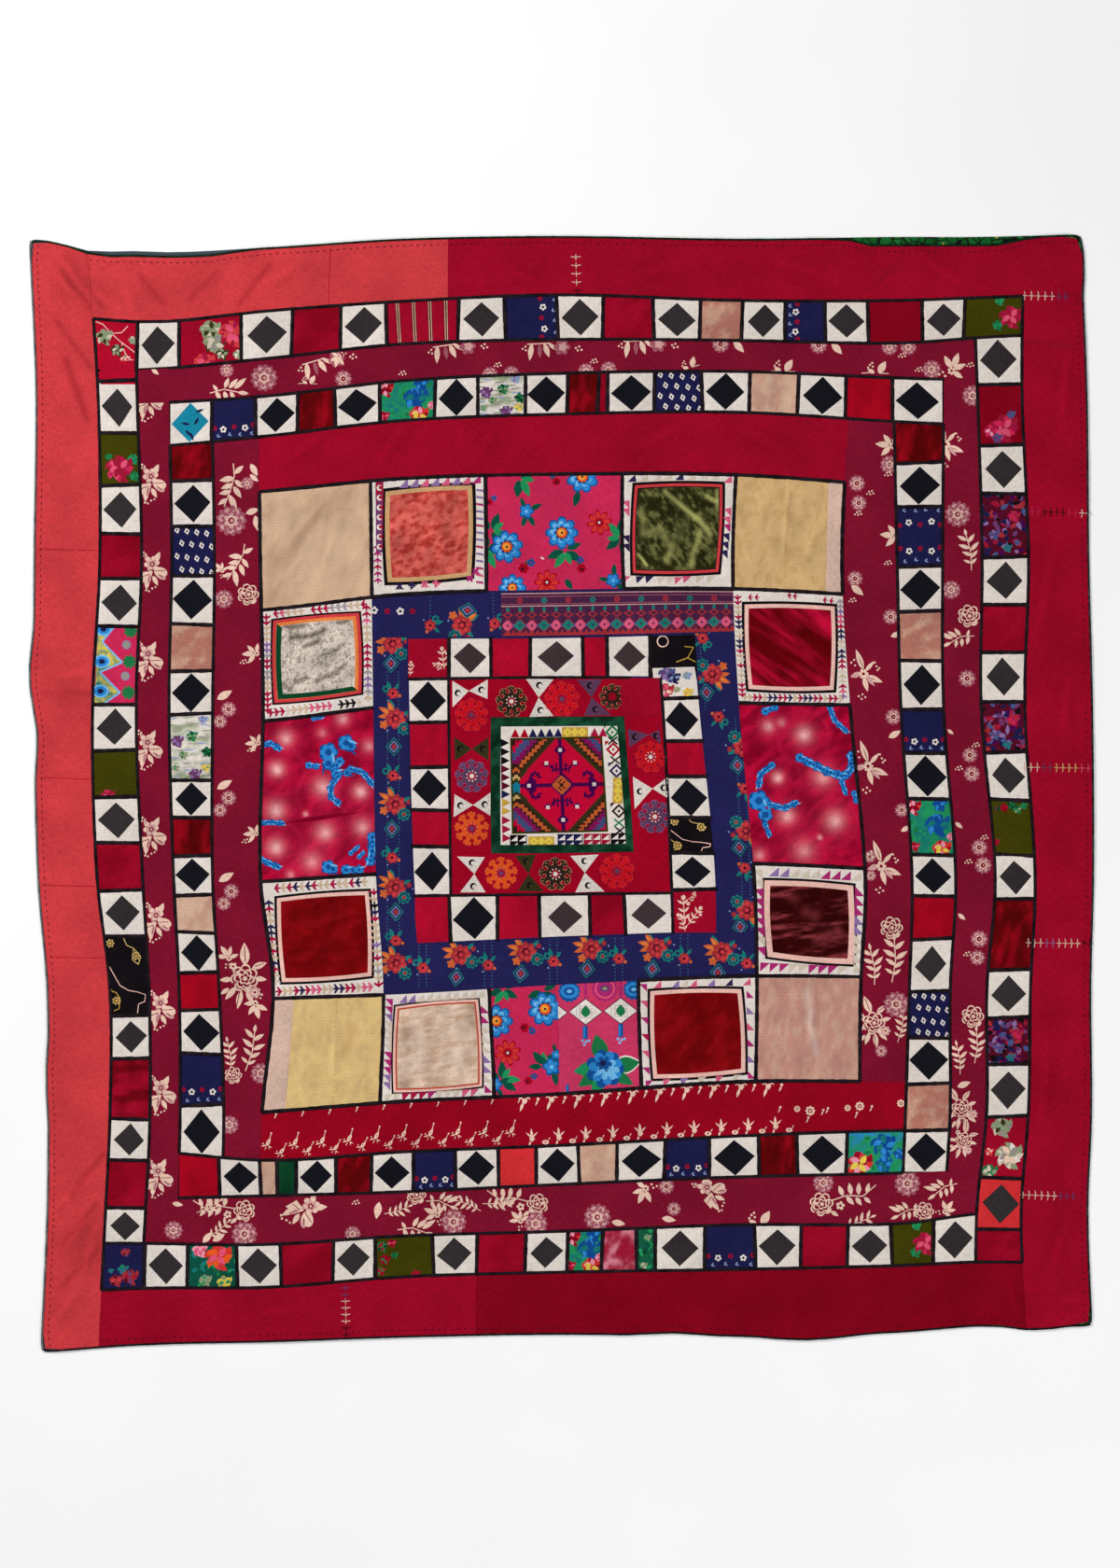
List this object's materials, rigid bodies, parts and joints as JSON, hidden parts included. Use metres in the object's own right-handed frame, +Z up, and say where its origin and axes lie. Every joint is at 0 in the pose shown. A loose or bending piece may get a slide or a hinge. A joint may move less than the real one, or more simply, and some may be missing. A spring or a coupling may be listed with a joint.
{
  "type": "pieced suzani cover",
  "caption": "Pieced suzani cover lying flat: plain red borders round bands of small patches, printed sashing, velvet and printed blocks and an embroidered centre.",
  "frame": {"origin": "middle of the cover's underside, on the surface it lies on", "axes": "+Z up out of the face, +Y to the cover's top edge, +X to its right edge"},
  "size_m": [1.826, 1.9156, 0.0061],
  "materials": {
    "lining": "printed cotton, matt",
    "binding": "narrow cotton edging, matt",
    "coral_cotton": "plain cotton, faded",
    "crimson_cotton": "plain cotton",
    "dark_red_cotton": "plain cotton",
    "burgundy_print": "printed cotton with pale sprays",
    "patched_cotton": "pieced plain and printed cottons",
    "plush": "short worn pile",
    "framed_velvet": "velvet in a stitched white frame",
    "pink_print": "printed cotton with blue flowers",
    "bubble_print": "printed cotton with soft glows",
    "blue_print": "printed cotton with small flowers",
    "star_embroidery": "chain-stitch embroidery",
    "green_velvet": "velvet",
    "cross_stitch": "dense cross stitch"
  },
  "bodies": {
    "root": {"lining": "lining", "binding_top": "binding", "binding_right": "binding", "binding_bottom": "binding", "binding_left": "binding", "border_left": "coral_cotton", "border_top_coral": "coral_cotton", "border_top_crimson": "crimson_cotton", "border_right": "crimson_cotton", "border_bottom_crimson": "crimson_cotton", "border_bottom_dark": "dark_red_cotton", "outer_band_top": "patched_cotton", "outer_band_right": "patched_cotton", "outer_band_bottom": "patched_cotton", "outer_band_left": "patched_cotton", "outer_sash_top": "burgundy_print", "outer_sash_right": "burgundy_print", "outer_sash_bottom": "burgundy_print", "outer_sash_left": "burgundy_print", "inner_band_top": "patched_cotton", "inner_band_right": "patched_cotton", "inner_band_bottom": "patched_cotton", "inner_band_left": "patched_cotton", "inner_sash_top": "crimson_cotton", "inner_sash_right": "burgundy_print", "inner_sash_bottom": "crimson_cotton", "inner_sash_left": "burgundy_print", "block_beige_plush": "plush", "block_coral_velvet": "framed_velvet", "block_pink_top": "pink_print", "block_olive_velvet": "framed_velvet", "block_yellow_top": "plush", "block_silver_velvet": "framed_velvet", "block_bubbles_left": "bubble_print", "block_red_velvet_left": "framed_velvet", "block_yellow_bottom": "plush", "block_cream_velvet": "framed_velvet", "block_pink_bottom": "pink_print", "block_red_velvet_bottom": "framed_velvet", "block_rose_plush": "plush", "block_crimson_velvet": "framed_velvet", "block_bubbles_right": "bubble_print", "block_maroon_velvet": "framed_velvet", "blue_frame_top": "blue_print", "blue_frame_right": "blue_print", "blue_frame_bottom": "blue_print", "blue_frame_left": "blue_print", "patch_ring_top": "patched_cotton", "patch_ring_right": "patched_cotton", "patch_ring_bottom": "patched_cotton", "patch_ring_left": "patched_cotton", "star_ring_top": "star_embroidery", "star_ring_right": "star_embroidery", "star_ring_bottom": "star_embroidery", "star_ring_left": "star_embroidery", "centre_velvet": "green_velvet", "centre_patch": "cross_stitch"}
  },
  "joints": []
}
